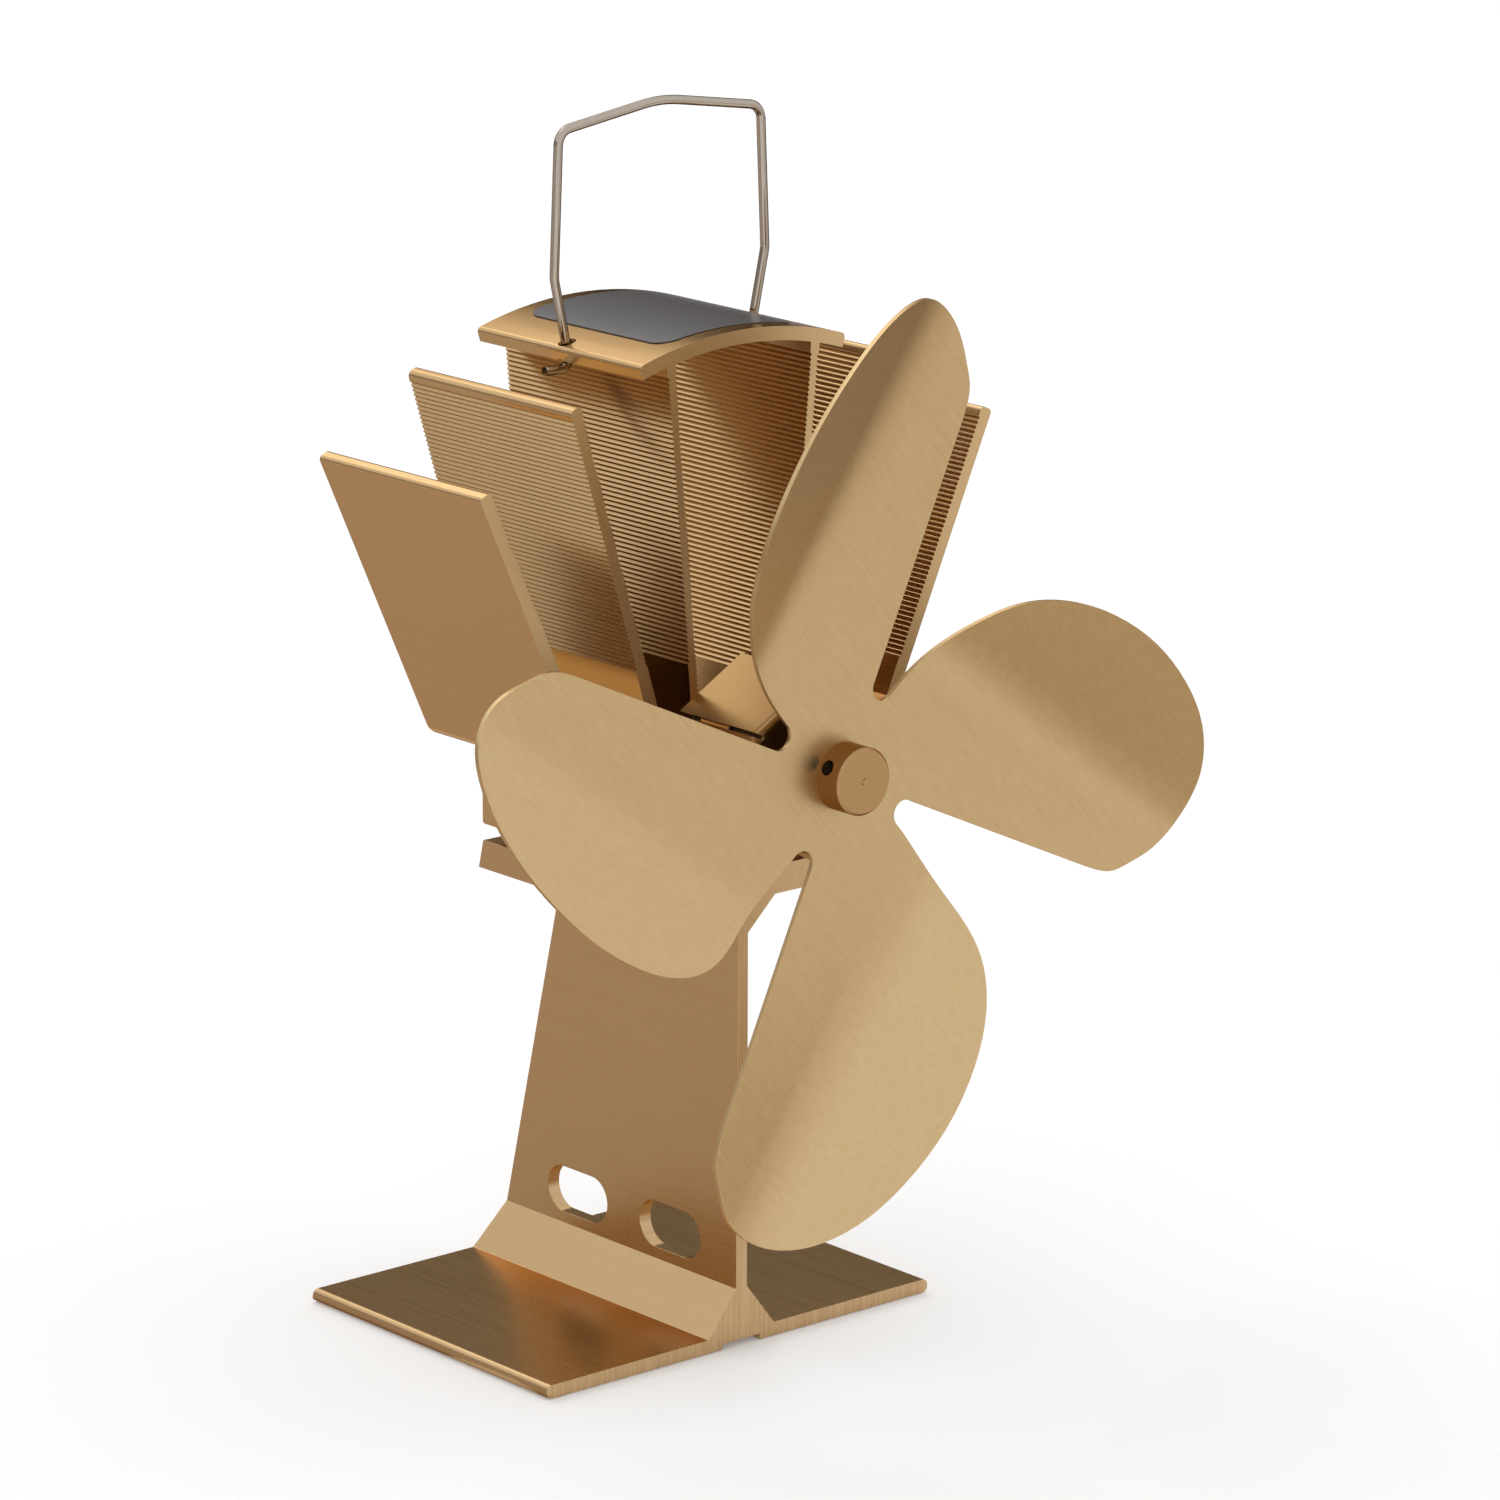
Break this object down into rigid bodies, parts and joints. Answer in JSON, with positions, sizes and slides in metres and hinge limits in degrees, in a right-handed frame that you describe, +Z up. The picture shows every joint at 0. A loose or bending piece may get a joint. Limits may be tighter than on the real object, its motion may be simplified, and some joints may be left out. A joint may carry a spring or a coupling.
{
  "type": "stove fan",
  "caption": "Heat-powered stove fan with a ribbed, fanned aluminium heat sink on a slotted stand, a bladed propeller in front and a wire carry handle.",
  "frame": {"origin": "centre of the whole fan's outline on the plane that its base stands on", "axes": "+Z up, -Y the way the propeller faces and blows, +X to the right for someone who faces the propeller"},
  "size_m": [0.177, 0.1138, 0.2404],
  "materials": {
    "gold_aluminium": "satin champagne gold anodised, ribbed fins, saw-cut ends",
    "gold_sheet": "satin champagne gold anodised sheet",
    "copper_gold": "turned, deeper copper gold",
    "label_grey": "glossy dark grey",
    "nickel_wire": "polished nickel wire",
    "black_steel": "black oxide",
    "zinc_steel": "zinc plated steel",
    "bright_steel": "ground steel",
    "fibre": "pressed fibre washer",
    "thermal_pad": "soft grey pad",
    "ceramic": "white ceramic",
    "semiconductor": "dark metallic",
    "seal": "white silicone",
    "motor_plastic": "black moulded plastic",
    "ferrite": "grey ferrite",
    "bronze": "sintered bronze",
    "copper": "copper",
    "core_steel": "laminated steel",
    "lead_sleeve": "silicone sleeve"
  },
  "bodies": {
    "fan_body": {"stand": "gold_aluminium", "lower_thermal_pad": "thermal_pad", "generator_hot_ceramic": "ceramic", "generator_legs": "semiconductor", "generator_seal": "seal", "generator_cold_ceramic": "ceramic", "upper_thermal_pad": "thermal_pad", "clamp_bushes": "fibre", "clamp_spring_washers": "zinc_steel", "clamp_screws": "black_steel", "heat_sink": "gold_aluminium", "label": "label_grey", "motor_bracket": "gold_sheet", "bracket_screws": "black_steel", "motor_screws": "zinc_steel", "motor_can": "zinc_steel", "motor_end_cap": "motor_plastic", "front_bearing": "bronze", "rear_bearing": "bronze", "motor_magnets": "ferrite", "motor_brushes": "copper", "motor_terminals": "copper", "motor_leads": "lead_sleeve"},
    "rotor": {"motor_shaft": "bright_steel", "armature_core": "core_steel", "armature_windings": "copper", "commutator": "copper", "hub": "copper_gold", "hub_set_screw": "black_steel", "propeller": "gold_sheet"},
    "handle": {"carry_handle": "nickel_wire"}
  },
  "joints": [
    {"name": "propeller_spin", "type": "hinge", "parent": "fan_body", "child": "rotor", "pos_m": [0, -0.0168, 0.1195], "axis": [0, -1, 0], "continuous": true},
    {"name": "handle_tilt", "type": "hinge", "parent": "fan_body", "child": "handle", "pos_m": [0, 0.00735, 0.19495], "axis": [1, 0, 0], "range_deg": [-18, 18]}
  ]
}
